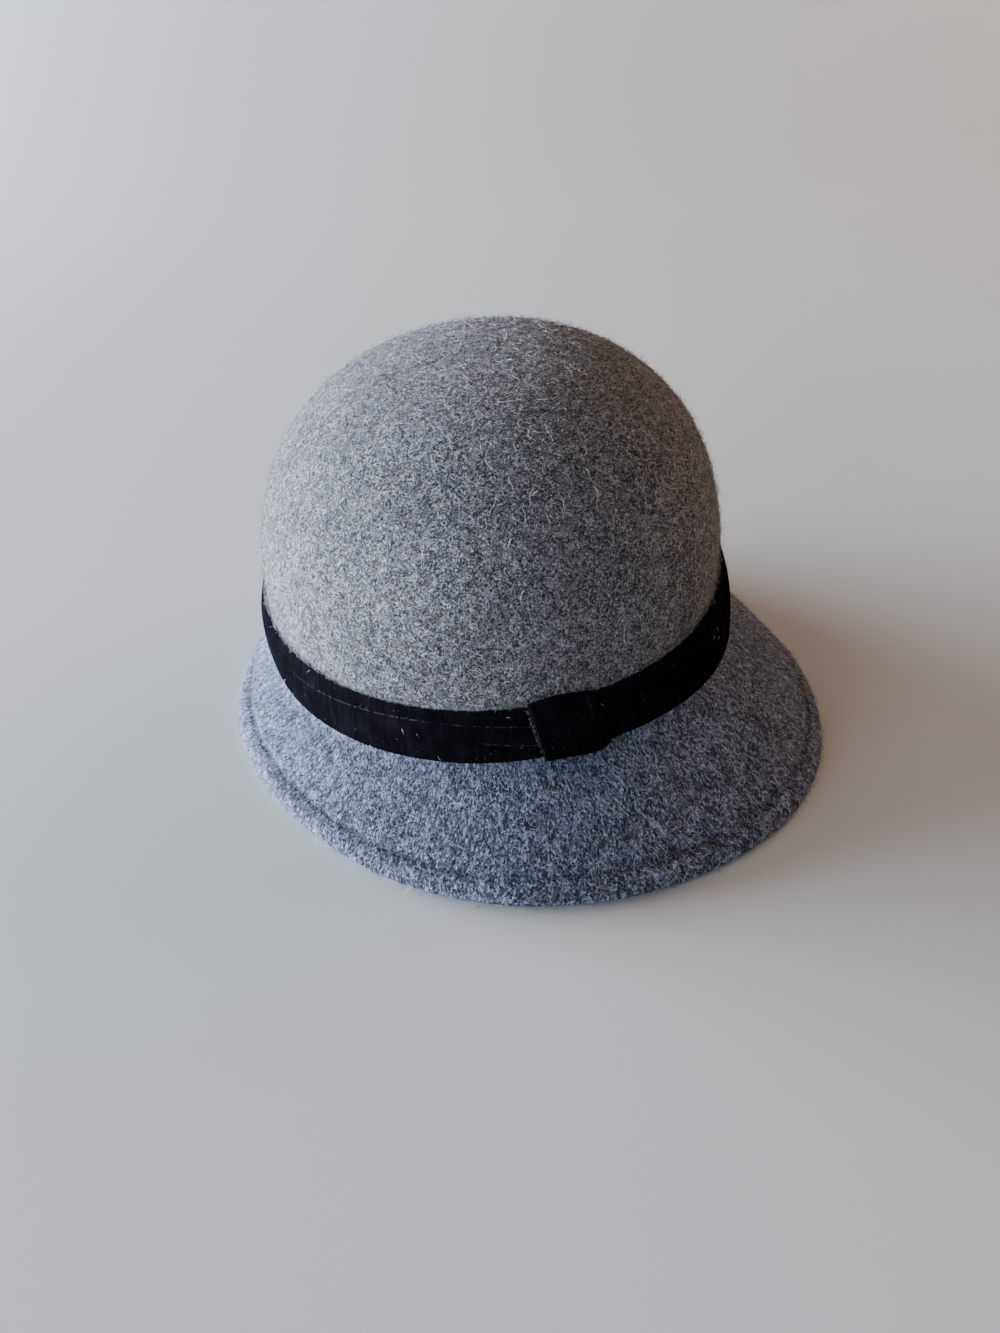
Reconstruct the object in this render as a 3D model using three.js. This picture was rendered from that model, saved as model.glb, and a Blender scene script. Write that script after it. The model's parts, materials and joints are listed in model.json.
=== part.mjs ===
// A wool felt cloche hat with a velvet band and a strap wrapped round the band at the front.
// Millimetres, +Z up, the front towards -Y and the wearer's left towards +X.
// It stands on the edge of its brim, whose underside lies at Z = 0.

import * as THREE from 'three';
import { mergeVertices } from 'three/addons/utils/BufferGeometryUtils.js';

// Head and crown
const headHalfLength = 95.6; // inside, front to back, at the top of the band
const headHalfWidth = 84.7; // inside, side to side, at the top of the band
const feltWall = 2.4;
const crownRise = 78.7; // from the top of the band to the top of the crown
const domePower = 2.43; // 2 is an ellipse, and more is squarer
const crownLeanBack = 4.8; // how far the crown's top lies behind the head's middle
const crownLeanLeft = 1.0; // and to the wearer's left of it
const wallFlare = 6.4; // how far the crown's wall opens over the band, where it opens most

// Brim
const bandFootHeight = 32.5; // the foot of the band above the brim's edge, on the crown's axis
const sideSlope = 0.109; // rise of the band towards the wearer's left, for each millimetre
const backSlope = 0.028; // rise of the band towards the back, for each millimetre
const saddleHeight = 0.4; // how far the band dips at the two sides and lifts at front and back
const brimReach = 44.5; // from the crown's foot out to the brim's edge, where it is widest
const brimSwell = 0.5; // how far the widest brim rounds outwards from a straight cone
const breakDrop = 3.4; // from the foot of the band down to where wall and brim would meet
const breakBlendLength = 5.5; // length of brim that the turn from wall to brim takes
const footLip = 1.9; // straight wall kept below the band, for the strap's turned edge

// Hem: the brim's edge is folded under and stitched
const hemRadius = 2.2; // half of the folded edge's thickness
const hemFlat = 0.12; // how much the fold's round is pressed flat by standing on it
const grooveSetback = 6.4; // from the start of the fold up to the stitched groove
const grooveDepth = 0.9;
const grooveHalfWidth = 1.7;
const hemTurnUp = 8.6; // width of the layer folded under
const hemPuff = 0.35; // how far the fold swells between its edge and the groove

// Band and strap
const bandHeight = 21.8;
const bandThickness = 1.2;
const bandSlack = 2.2; // how far the slackest stretch of band stands off the crown's wall
const bandEdgeRound = 0.45;
const tuckDepth = 0.55;
const tuckHalfWidth = 1.3;
const fitGap = 0.3; // clearance between neighbouring pieces
const loopTurn = 262.7; // degrees round the hat to the middle of the strap
const loopWidth = 22.5;
const loopThickness = 1.0;
const loopRise = 1.2; // room between the band's top edge and the strap turned over it
const loopLipWidth = 1.0; // how far the strap's edges turn in over the band's edges
const loopSlope = 0.24; // how far the strap leans along the band for each millimetre of height

// Fineness of the surfaces
const roundSteps = 72;
const domeSteps = 14;
const brimSteps = 6;
const loopSteps = 6;
const breakSteps = 3;
const bandRows = [0, 0.14, 0.26, 0.34, 0.42, 0.5, 0.58, 0.66, 0.74, 0.86, 1]; // up the band's face
const loopRows = [0.2, 0.4, 0.6, 0.8]; // up the strap, in shares of bandHeight
const mergeDistance = 1e-4; // points nearer than this are one

// The hat going round, in degrees from the wearer's left side by way of the back.
// reach is the brim's width as a share of brimReach, flare the opening of the crown's wall as a
// share of wallFlare, and slack the band's standing off the wall as a share of bandSlack.
const stations = [
  { turn: 0, reach: 0.61, flare: 0.07, slack: 0.76 },
  { turn: 30, reach: 0.46, flare: 0.12, slack: 0.72 },
  { turn: 60, reach: 0.35, flare: 0.20, slack: 0.72 },
  { turn: 90, reach: 0.27, flare: 0.22, slack: 0.80 },
  { turn: 120, reach: 0.23, flare: 0.19, slack: 0.93 },
  { turn: 150, reach: 0.28, flare: 0.18, slack: 1.00 },
  { turn: 180, reach: 0.45, flare: 0.15, slack: 0.62 },
  { turn: 210, reach: 0.61, flare: 0.16, slack: 0.49 },
  { turn: 240, reach: 0.87, flare: 0.10, slack: 0.44 },
  { turn: 270, reach: 1.00, flare: 0.22, slack: 0.44 },
  { turn: 300, reach: 0.96, flare: 1.00, slack: 0.49 },
  { turn: 330, reach: 0.83, flare: 0.52, slack: 0.72 },
];

// Tucks pressed into the band, each running from a turn until it is under the strap. up is its
// height at its two ends and bow its rise between them, in shares of bandHeight.
const tuckEnd = loopTurn - 4.7;
const tucks = [
  { from: 186, upFrom: 0.6, upTo: 0.62, bow: 0.15 },
  { from: 243, upFrom: 0.45, upTo: 0.25, bow: 0 },
];
const tuckFade = 0.15; // share of its length over which a tuck grows to its depth
const tuckSkew = 1.6; // above 1 the bow is highest past the middle of its length

const feltGrey = 0x7b7d84;
const velvetBlack = 0x0b0b0d;

// A smooth value of one column of the stations, at a turn in radians.
function around(column, turn) {
  const count = stations.length;
  const place = (((THREE.MathUtils.radToDeg(turn) / 360) % 1) + 1) * count;
  const index = Math.floor(place);
  const share = place - index;
  const [a, b, c, d] = [-1, 0, 1, 2].map((step) => stations[(index + step) % count][column]);
  const slopeB = (c - a) / 2;
  const slopeC = (d - b) / 2;
  const square = share * share;
  const cube = square * share;
  return b + slopeB * share + (3 * (c - b) - 2 * slopeB - slopeC) * square
    + (2 * (b - c) + slopeB + slopeC) * cube;
}

// How much higher the band's plane lies at a place than on the crown's axis.
function planeRise(turn, radius) {
  const tilt = sideSlope * Math.cos(turn) + backSlope * Math.sin(turn);
  return radius * tilt - saddleHeight * Math.cos(2 * turn);
}

// The felt's outside at the top of the band is an oval.
function wallTop(turn) {
  const halfWidth = headHalfWidth + feltWall;
  const halfLength = headHalfLength + feltWall;
  const stretch = Math.hypot(halfLength * Math.cos(turn), halfWidth * Math.sin(turn));
  const radius = (halfWidth * halfLength) / stretch;
  return new THREE.Vector2(radius, bandFootHeight + bandHeight + planeRise(turn, radius));
}

function wallFoot(turn) {
  const radius = wallTop(turn).x + wallFlare * around('flare', turn);
  return new THREE.Vector2(radius, bandFootHeight + planeRise(turn, radius));
}

// The dome from its top down to the band, without its last point.
function domeLine(turn) {
  const top = wallTop(turn);
  const level = bandFootHeight + bandHeight;
  const line = [];
  for (let step = 0; step < domeSteps; step += 1) {
    const rise = Math.cos((step / domeSteps) * (Math.PI / 2));
    const spread = (1 - rise ** domePower) ** (1 / domePower);
    const height = level + crownRise * rise + (top.y - level) * spread;
    line.push(new THREE.Vector2(top.x * spread, height));
  }
  return line;
}

// The wall behind the band and the turn from it into the brim.
function breakLine(turn, brimPoint) {
  const top = wallTop(turn);
  const foot = wallFoot(turn);
  const down = foot.clone().sub(top).normalize();
  const lip = foot.clone().addScaledVector(down, footLip);
  const corner = foot.clone().addScaledVector(down, breakDrop);
  const bend = new THREE.QuadraticBezierCurve(lip, corner, brimPoint);
  return [top, foot.clone().lerp(top, 0.5), foot, ...bend.getPoints(breakSteps).slice(0, -1)];
}

// The brim's outside from the break to the fold, as a curve and where its parts lie.
function brimFrame(turn) {
  const foot = wallFoot(turn);
  const down = foot.clone().sub(wallTop(turn)).normalize();
  const start = foot.clone().addScaledVector(down, breakDrop);
  const reach = brimReach * around('reach', turn);
  const fold = new THREE.Vector2(foot.x + reach - hemRadius, hemRadius - hemFlat);
  const chord = fold.clone().sub(start);
  const swell = (brimSwell * reach) / brimReach;
  const slope = Math.atan2(-chord.y, chord.x) + Math.atan((Math.PI * swell) / chord.length());
  const outward = new THREE.Vector2(Math.sin(slope), Math.cos(slope));
  const end = fold.clone().addScaledVector(outward, hemRadius);
  const along = end.clone().sub(start);
  const length = along.length();
  const lift = new THREE.Vector2(-along.y, along.x).divideScalar(length);
  const at = (distance) => {
    const share = distance / length;
    const point = start.clone().addScaledVector(along, share);
    return point.addScaledVector(lift, swell * Math.sin(Math.PI * share));
  };
  return { at, fold, length, slope };
}

// Distances along the brim's outside at which it has a point.
function brimDistances(length) {
  const groove = length - grooveSetback;
  const distances = [];
  for (let step = 0; step < brimSteps; step += 1) {
    distances.push(THREE.MathUtils.lerp(breakBlendLength, groove - grooveHalfWidth, step / brimSteps));
  }
  distances.push(groove - grooveHalfWidth, groove, groove + grooveHalfWidth);
  distances.push((groove + grooveHalfWidth + length) / 2);
  return distances;
}

// How far the stitched hem lifts or sinks the brim's outside at a distance along it.
function hemRelief(distance, length) {
  const groove = length - grooveSetback;
  if (Math.abs(distance - groove) < grooveHalfWidth / 2) return -grooveDepth;
  if (distance > groove + grooveHalfWidth) return hemPuff;
  return 0;
}

// The fold's round, from the brim's underside down to the flat it stands on and up the outside.
function foldPoints(frame) {
  const start = Math.PI / 2 - frame.slope;
  const halfFlat = Math.acos((hemRadius - hemFlat) / hemRadius);
  const outerFlat = -Math.PI / 2 + halfFlat;
  const innerFlat = -Math.PI / 2 - halfFlat;
  const end = start - Math.PI;
  const angles = [end, (innerFlat + end) / 2, innerFlat, outerFlat];
  angles.push((start + 2 * outerFlat) / 3, (2 * start + outerFlat) / 3, start);
  return angles.map((angle) => {
    const round = new THREE.Vector2(Math.cos(angle), Math.sin(angle));
    return frame.fold.clone().addScaledVector(round, hemRadius);
  });
}

// The direction out of the felt at each point of an open line that runs down its outside.
function outwardsOf(line) {
  return line.map((point, index) => {
    const before = line[Math.max(index - 1, 0)];
    const after = line[Math.min(index + 1, line.length - 1)];
    const along = after.clone().sub(before).normalize();
    return index === 0 ? new THREE.Vector2(0, 1) : new THREE.Vector2(-along.y, along.x);
  });
}

// One cut through the felt: down its inside, round the fold and up its outside.
function feltSection(turn) {
  const frame = brimFrame(turn);
  const distances = brimDistances(frame.length);
  const brim = distances.map(frame.at);
  const smooth = [...domeLine(turn), ...breakLine(turn, brim[0]), ...brim];
  const outwards = outwardsOf(smooth);
  const firstOfBrim = smooth.length - brim.length;
  const outside = smooth.map((point, index) => {
    const distance = distances[index - firstOfBrim];
    const relief = index < firstOfBrim ? 0 : hemRelief(distance, frame.length);
    return point.clone().addScaledVector(outwards[index], relief);
  });
  const inside = smooth.map((point, index) => {
    const distance = distances[index - firstOfBrim];
    const folded = index >= firstOfBrim && distance > frame.length - hemTurnUp;
    const thickness = folded ? 2 * hemRadius : feltWall;
    return point.clone().addScaledVector(outwards[index], -thickness);
  });
  inside[0].x = 0;
  return [...inside, ...foldPoints(frame), ...outside.reverse()];
}

// The crown's top lies a little behind the head's middle and to one side of it.
function leaning(point) {
  const share = THREE.MathUtils.clamp((point.z - bandFootHeight - bandHeight) / crownRise, 0, 1);
  point.x += crownLeanLeft * share;
  point.y += crownLeanBack * share;
  return point;
}

// A place on the hat given as a turn round it, a radius and a height.
function placed(turn, radius, height) {
  return leaning(new THREE.Vector3(radius * Math.cos(turn), radius * Math.sin(turn), height));
}

// A place on the crown's wall: a turn, a height along the wall and a distance out from it.
function onTheWall(turn, up, out) {
  const top = wallTop(turn);
  const foot = wallFoot(turn);
  const rise = top.clone().sub(foot).normalize();
  const share = THREE.MathUtils.clamp(up / bandHeight, 0, 1);
  const slack = bandSlack * around('slack', turn) * Math.sin(Math.PI * share);
  const point = foot.addScaledVector(rise, up);
  point.addScaledVector(new THREE.Vector2(rise.y, -rise.x), out + slack);
  return placed(turn, point.x, point.y);
}

// How deep the tucks sink the band's face at a turn and a height.
function tuckSink(turn, up) {
  let sink = 0;
  for (const tuck of tucks) {
    const share = (THREE.MathUtils.radToDeg(turn) - tuck.from) / (tuckEnd - tuck.from);
    if (share <= 0 || share >= 1) continue;
    const bow = tuck.bow * Math.sin(Math.PI * share ** tuckSkew);
    const height = bandHeight * (THREE.MathUtils.lerp(tuck.upFrom, tuck.upTo, share) + bow);
    const fade = THREE.MathUtils.smoothstep(share, 0, tuckFade);
    sink += tuckDepth * fade * Math.exp(-(((up - height) / tuckHalfWidth) ** 2));
  }
  return sink;
}

// One cut through the band as flat cloth, as pairs of height and distance out from the wall.
function bandSection() {
  const back = fitGap;
  const face = fitGap + bandThickness;
  const points = [];
  for (const share of [1, 0.5, 0]) points.push({ up: share * bandHeight, out: back });
  points.push({ up: 0, out: face - bandEdgeRound });
  for (const share of bandRows) {
    const up = THREE.MathUtils.lerp(bandEdgeRound, bandHeight - bandEdgeRound, share);
    points.push({ up, out: face });
  }
  points.push({ up: bandHeight, out: face - bandEdgeRound });
  return points;
}

// A lathe's surface moved so that each of its cuts becomes the section at that turn.
function latheThrough(sectionAt, closed) {
  const first = sectionAt(0);
  const outline = first.map((point, index) => new THREE.Vector2(1, index));
  if (closed) outline.push(outline[0].clone());
  const geometry = new THREE.LatheGeometry(outline, roundSteps);
  const position = geometry.getAttribute('position');
  for (let step = 0; step <= roundSteps; step += 1) {
    const turn = (2 * Math.PI * (step % roundSteps)) / roundSteps;
    const section = sectionAt(turn);
    for (let index = 0; index < outline.length; index += 1) {
      const point = section[index % section.length];
      position.setXYZ(step * outline.length + index, point.x, point.y, point.z);
    }
  }
  return geometry;
}

// A closed body with shared corners and no triangle that is only a line.
function closedBody(geometry) {
  geometry.deleteAttribute('normal');
  geometry.deleteAttribute('uv');
  const merged = mergeVertices(geometry, mergeDistance);
  const corners = merged.getIndex().array;
  const kept = [];
  for (let index = 0; index < corners.length; index += 3) {
    const [a, b, c] = [corners[index], corners[index + 1], corners[index + 2]];
    if (a !== b && b !== c && c !== a) kept.push(a, b, c);
  }
  merged.setIndex(kept);
  merged.computeVertexNormals();
  return merged;
}

function feltBodyGeometry() {
  const sectionAt = (turn) => feltSection(turn).map((point) => placed(turn, point.x, point.y));
  return closedBody(latheThrough(sectionAt, false));
}

function bandGeometry() {
  const flat = bandSection();
  const sectionAt = (turn) => flat.map(({ up, out }) => {
    const faceShare = (out - fitGap) / bandThickness;
    return onTheWall(turn, up, out - tuckSink(turn, up) * faceShare);
  });
  return closedBody(latheThrough(sectionAt, true));
}

// The strap's cut is a shallow C that holds the band between its two turned edges.
function loopShape() {
  const inner = fitGap + bandThickness + fitGap;
  const outer = inner + loopThickness;
  const tip = fitGap + bandThickness - loopLipWidth;
  const bottom = -fitGap - loopThickness;
  const lid = bandHeight + loopRise;
  const top = lid + loopThickness;
  const round = loopThickness / 2;
  const shape = new THREE.Shape();
  shape.moveTo(tip, bottom);
  shape.lineTo(outer - round, bottom);
  shape.lineTo(outer, bottom + round);
  for (const share of loopRows) shape.lineTo(outer, share * bandHeight);
  shape.lineTo(outer, top - round);
  shape.lineTo(outer - round, top);
  shape.lineTo(tip, top);
  shape.lineTo(tip, lid);
  shape.lineTo(inner, lid);
  for (const share of loopRows.toReversed()) shape.lineTo(inner, share * bandHeight);
  shape.lineTo(inner, -fitGap);
  shape.lineTo(tip, -fitGap);
  shape.closePath();
  return shape;
}

function bandLoopGeometry() {
  const extrusion = { depth: loopWidth, steps: loopSteps, bevelEnabled: false };
  const geometry = new THREE.ExtrudeGeometry(loopShape(), extrusion);
  const position = geometry.getAttribute('position');
  const middle = THREE.MathUtils.degToRad(loopTurn);
  const radius = wallTop(middle).x;
  for (let index = 0; index < position.count; index += 1) {
    const out = position.getX(index);
    const up = position.getY(index);
    const along = loopWidth / 2 - position.getZ(index) + loopSlope * (bandHeight / 2 - up);
    const point = onTheWall(middle + along / radius, up, out);
    position.setXYZ(index, point.x, point.y, point.z);
  }
  return closedBody(geometry);
}

function piece(name, geometry, colour, roughness) {
  const material = new THREE.MeshStandardMaterial({ color: colour, roughness, metalness: 0 });
  const mesh = new THREE.Mesh(geometry, material);
  mesh.name = name;
  return mesh;
}

const hat = new THREE.Group();
hat.add(piece('felt_body', feltBodyGeometry(), feltGrey, 0.95));
hat.add(piece('band', bandGeometry(), velvetBlack, 0.9));
hat.add(piece('band_loop', bandLoopGeometry(), velvetBlack, 0.9));

// The origin is level with the foot of the brim, under the middle of its outline.
const outline = new THREE.Box3().setFromObject(hat);
const middle = outline.getCenter(new THREE.Vector3());
hat.position.set(-middle.x, -middle.y, 0);

export default hat;
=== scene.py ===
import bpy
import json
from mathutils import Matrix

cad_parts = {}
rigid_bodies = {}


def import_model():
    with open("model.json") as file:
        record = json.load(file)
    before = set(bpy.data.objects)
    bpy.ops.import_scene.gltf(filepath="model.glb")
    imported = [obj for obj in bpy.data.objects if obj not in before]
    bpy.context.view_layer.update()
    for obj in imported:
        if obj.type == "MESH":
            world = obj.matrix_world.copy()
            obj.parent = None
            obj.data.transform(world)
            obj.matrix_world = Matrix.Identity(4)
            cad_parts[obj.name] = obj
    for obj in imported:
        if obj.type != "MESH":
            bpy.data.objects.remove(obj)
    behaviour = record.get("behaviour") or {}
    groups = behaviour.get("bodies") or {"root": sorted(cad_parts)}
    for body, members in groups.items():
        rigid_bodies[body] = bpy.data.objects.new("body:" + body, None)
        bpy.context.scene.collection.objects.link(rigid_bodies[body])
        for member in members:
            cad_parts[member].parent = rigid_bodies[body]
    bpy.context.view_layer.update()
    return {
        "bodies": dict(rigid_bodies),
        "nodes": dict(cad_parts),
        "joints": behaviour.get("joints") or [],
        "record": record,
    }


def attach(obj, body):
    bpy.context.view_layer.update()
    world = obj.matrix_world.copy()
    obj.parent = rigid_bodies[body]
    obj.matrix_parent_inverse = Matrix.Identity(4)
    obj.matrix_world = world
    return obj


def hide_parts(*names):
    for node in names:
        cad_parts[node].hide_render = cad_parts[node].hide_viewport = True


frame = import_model()

import json
import math

import bmesh
import bpy
import numpy as np
from bpy.props import FloatProperty, FloatVectorProperty, IntProperty, PointerProperty
from mathutils import Matrix, Vector, noise

bl_info = {
    "name": "Felt cloche hat",
    "version": (1, 0, 0),
    "blender": (4, 5, 0),
    "location": "View3D > Sidebar > Cloche",
    "description": "Builds a wool felt cloche with a velvet band, a strap and a stitched hem",
    "category": "Object",
}

MM = 0.001

# The hat going round, from the wearer's left side by way of the back, every 30 degrees:
# the brim's reach, the flare of the crown's wall and the band's slack, each as a share.
REACH = (0.61, 0.46, 0.35, 0.27, 0.23, 0.28, 0.45, 0.61, 0.87, 1.00, 0.96, 0.83)
FLARE = (0.07, 0.12, 0.20, 0.22, 0.19, 0.18, 0.15, 0.16, 0.10, 0.22, 1.00, 0.52)
SLACK = (0.76, 0.72, 0.72, 0.80, 0.93, 1.00, 0.62, 0.49, 0.44, 0.44, 0.49, 0.72)

# Tucks pressed into the band: the turn where one starts, its height there and where it goes
# under the strap, and its bow, in shares of the band's height.
TUCKS = ((186.0, 0.60, 0.62, 0.15), (243.0, 0.45, 0.25, 0.0))
TUCK_SKEW = 1.6
TUCK_FADE = 0.15
TUCK_BEFORE_STRAP = 4.7  # degrees from the strap's middle to the tucks' end under it

# The brim's grain is drawn on a cylinder of one radius and stretched down the brim.
BRIM_GRAIN_RADIUS = 0.112
BRIM_GRAIN_STRETCH = 0.40

CAMERA_PLACE = (-0.13769, -0.31109, 0.24699)
CAMERA_HEADING = 22.844
CAMERA_PITCH = 35.3
CAMERA_ROLL = 1.8
CAMERA_LENS = 27.007
CAMERA_SENSOR = 36.0

# Each lamp's place to the right, away and up, its size, its power's setting and its colour.
LAMPS = (
    ("key", (-2.8, 1.1, 0.38), (3.8, 0.8), "key_power", (0.80, 0.90, 1.05)),
    ("near_fill", (-2.0, -1.8, 0.7), (2.0, 1.0), "near_power", (0.81, 0.89, 1.05)),
    ("fill", (2.2, 1.6, 1.4), (2.4, 1.4), "fill_power", (1.0, 0.66, 0.44)),
)
LAMP_AIM = Vector((0.0, 0.0, 0.06))
SKY_COLOUR = (1.0, 0.94, 0.86, 1.0)

# Rows of points along one cut through the felt.
DOME_ROWS = 60
BREAK_ROWS = 6
BRIM_ROWS = 26
GROOVE_ROWS = 10
EDGE_ROWS = 8
FOLD_ROWS = 14
UNDER_DENT = 0.35  # depth of the seam under the brim, as a share of the groove's

STRAY_SHARE = 0.20  # of the fuzz, the fibres that stand up
TUFT_SHARE = 0.20  # of the rest, the thicker tufts
BRIM_LEVEL = 40.0 * MM  # fibres below it lie mostly down the brim


class ClocheForm(bpy.types.PropertyGroup):
    head_half_length: FloatProperty(
        name="Head half length", description="Inside, front to back, at the top of the band",
        default=95.6 * MM, unit="LENGTH")
    head_half_width: FloatProperty(
        name="Head half width", description="Inside, side to side, at the top of the band",
        default=84.7 * MM, unit="LENGTH")
    felt_wall: FloatProperty(
        name="Felt thickness", description="Thickness of the felt", default=2.4 * MM, unit="LENGTH")
    crown_rise: FloatProperty(
        name="Crown rise", description="From the top of the band to the top of the crown",
        default=78.7 * MM, unit="LENGTH")
    dome_power: FloatProperty(
        name="Dome power", description="2 is an ellipse, and more is squarer", default=2.43)
    lean_back: FloatProperty(
        name="Lean back", description="How far the crown's top lies behind the head's middle",
        default=4.8 * MM, unit="LENGTH")
    lean_left: FloatProperty(
        name="Lean left", description="How far the crown's top lies to the wearer's left",
        default=1.0 * MM, unit="LENGTH")
    wall_flare: FloatProperty(
        name="Wall flare", description="How far the wall opens over the band, at most",
        default=6.4 * MM, unit="LENGTH")
    foot_height: FloatProperty(
        name="Band foot height", description="The foot of the band above the floor",
        default=32.5 * MM, unit="LENGTH")
    side_slope: FloatProperty(
        name="Side slope", description="Rise of the band towards the wearer's left", default=0.109)
    back_slope: FloatProperty(
        name="Back slope", description="Rise of the band towards the back", default=0.028)
    saddle: FloatProperty(
        name="Saddle", description="How far the band dips at the two sides",
        default=0.4 * MM, unit="LENGTH")
    brim_reach: FloatProperty(
        name="Brim reach", description="From the crown's foot to the brim's edge, at most",
        default=44.5 * MM, unit="LENGTH")
    brim_swell: FloatProperty(
        name="Brim swell", description="How far the brim rounds outwards from a straight cone",
        default=0.5 * MM, unit="LENGTH")
    break_drop: FloatProperty(
        name="Break drop", description="From the band's foot to where wall and brim would meet",
        default=3.4 * MM, unit="LENGTH")
    break_blend: FloatProperty(
        name="Break blend", description="Length of brim that the turn from wall to brim takes",
        default=5.5 * MM, unit="LENGTH")
    foot_lip: FloatProperty(
        name="Foot lip", description="Straight wall kept below the band",
        default=1.9 * MM, unit="LENGTH")
    hem_radius: FloatProperty(
        name="Hem radius", description="Half of the folded edge's thickness",
        default=2.2 * MM, unit="LENGTH")
    hem_flat: FloatProperty(
        name="Hem flat", description="How much the fold is pressed flat by standing on it",
        default=0.12 * MM, unit="LENGTH")
    groove_setback: FloatProperty(
        name="Groove setback", description="From the fold up to the stitched groove",
        default=6.4 * MM, unit="LENGTH")
    groove_depth: FloatProperty(
        name="Groove depth", description="Depth of the stitched groove",
        default=0.9 * MM, unit="LENGTH")
    groove_half_width: FloatProperty(
        name="Groove half width", description="Half of the stitched groove's width",
        default=2.3 * MM, unit="LENGTH")
    hem_turn_up: FloatProperty(
        name="Hem turn-up", description="Width of the layer folded under",
        default=8.6 * MM, unit="LENGTH")
    hem_puff: FloatProperty(
        name="Hem puff", description="How far the fold swells between its edge and the groove",
        default=0.35 * MM, unit="LENGTH")
    lump_height: FloatProperty(
        name="Lump height", description="Unevenness of the blocked felt",
        default=0.28 * MM, unit="LENGTH")
    round_steps: IntProperty(
        name="Steps round", description="Points going once round the felt", default=300)


class ClocheTrim(bpy.types.PropertyGroup):
    band_height: FloatProperty(
        name="Band height", description="Height of the velvet band along the wall",
        default=21.8 * MM, unit="LENGTH")
    band_thickness: FloatProperty(
        name="Band thickness", description="Thickness of the folded velvet",
        default=1.2 * MM, unit="LENGTH")
    band_slack: FloatProperty(
        name="Band slack", description="How far the band stands off the wall, at most",
        default=2.2 * MM, unit="LENGTH")
    tuck_depth: FloatProperty(
        name="Tuck depth", description="Depth of the tucks pressed into the band",
        default=0.55 * MM, unit="LENGTH")
    tuck_half_width: FloatProperty(
        name="Tuck half width", description="Half of a tuck's width",
        default=1.0 * MM, unit="LENGTH")
    fit_gap: FloatProperty(
        name="Fit gap", description="Clearance between neighbouring pieces",
        default=0.3 * MM, unit="LENGTH")
    strap_turn: FloatProperty(
        name="Strap turn", description="Degrees round the hat to the middle of the strap",
        default=262.7)
    strap_width: FloatProperty(
        name="Strap width", description="Width of the strap along the band",
        default=22.5 * MM, unit="LENGTH")
    strap_thickness: FloatProperty(
        name="Strap thickness", description="Thickness of the strap",
        default=1.0 * MM, unit="LENGTH")
    strap_rise: FloatProperty(
        name="Strap rise", description="Room between the band's top and the strap turned over it",
        default=1.2 * MM, unit="LENGTH")
    strap_lip: FloatProperty(
        name="Strap lip", description="How far the strap's edges turn in over the band",
        default=1.0 * MM, unit="LENGTH")
    strap_slope: FloatProperty(
        name="Strap slope", description="How far the strap leans along the band with height",
        default=0.24)
    stitch_pitch: FloatProperty(
        name="Stitch pitch", description="From one stitch of the hem to the next",
        default=3.6 * MM, unit="LENGTH")
    stitch_length: FloatProperty(
        name="Stitch length", description="Length of a stitch's thread that shows",
        default=2.9 * MM, unit="LENGTH")
    thread_radius: FloatProperty(
        name="Thread radius", description="Half thickness of the hem's thread",
        default=0.22 * MM, unit="LENGTH")
    velvet: FloatVectorProperty(
        name="Velvet", description="Colour of the pile", subtype="COLOR", size=3,
        default=(0.0036, 0.0033, 0.0047))
    # Pale pile colour: real wear along the tucks, dust and the strap's edge, and a painted
    # highlight along the strap's fold.
    worn_and_highlight: FloatVectorProperty(
        name="Worn velvet", description="Colour of pile rubbed along a tuck", subtype="COLOR",
        size=3, default=(0.085, 0.085, 0.095))


class ClocheWool(bpy.types.PropertyGroup):
    pale: FloatVectorProperty(
        name="Pale wool", description="Colour of the palest fibres", subtype="COLOR", size=3,
        default=(0.66, 0.66, 0.69))
    middle: FloatVectorProperty(
        name="Middle wool", description="Colour of most fibres", subtype="COLOR", size=3,
        default=(0.165, 0.165, 0.180))
    dark: FloatVectorProperty(
        name="Dark wool", description="Colour of the darkest fibres", subtype="COLOR", size=3,
        default=(0.022, 0.022, 0.027))
    fleck: FloatVectorProperty(
        name="Fleck", description="Colour of the few warm fibres", subtype="COLOR", size=3,
        default=(0.26, 0.17, 0.15))
    # Painted cool light: the brim's colour is tinted bluer than the crown's, standing in for bluish
    # light falling on the brim.
    brim_painted_cool_light: FloatVectorProperty(
        name="Brim tint", description="Tint of the brim's felt against the crown's",
        subtype="COLOR", size=3, default=(0.82, 0.97, 1.27))
    fibre_length: FloatProperty(
        name="Fibre length", description="Length of the loose surface fibres",
        default=2.4 * MM, unit="LENGTH")
    fibre_radius: FloatProperty(
        name="Fibre radius", description="Half thickness of the loose surface fibres",
        default=0.035 * MM, unit="LENGTH")
    fibres: IntProperty(
        name="Fibres", description="Short fibres in each of the fuzz pieces", default=28000)
    hairs: IntProperty(
        name="Stray hairs", description="Longest curly hairs lying on the felt", default=90)
    long_fibres: IntProperty(
        name="Long fibres", description="Long curly fibres lying on the felt", default=5600)
    seed: IntProperty(name="Seed", description="Seed of the scattered fibres", default=7)


class ClocheStudio(bpy.types.PropertyGroup):
    sweep_start: FloatProperty(
        name="Sweep start", description="Flat floor behind the hat before it rises",
        default=0.9, unit="LENGTH")
    sweep_radius: FloatProperty(
        name="Sweep radius", description="Radius of the rise from floor to wall",
        default=1.7, unit="LENGTH")
    floor: FloatVectorProperty(
        name="Floor", description="Colour of the floor", subtype="COLOR", size=3,
        default=(0.62, 0.62, 0.61))
    key_power: FloatProperty(
        name="Key light", description="Power of the cool light at the picture's left",
        default=910.0, unit="POWER")
    near_power: FloatProperty(
        name="Near fill power", description="Power of the weak lamp in front", default=46.0,
        unit="POWER")
    fill_power: FloatProperty(
        name="Fill light", description="Power of the warm light at the picture's right",
        default=48.0, unit="POWER")
    sky: FloatProperty(name="Sky", description="Strength of the light all round", default=0.10)


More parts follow.
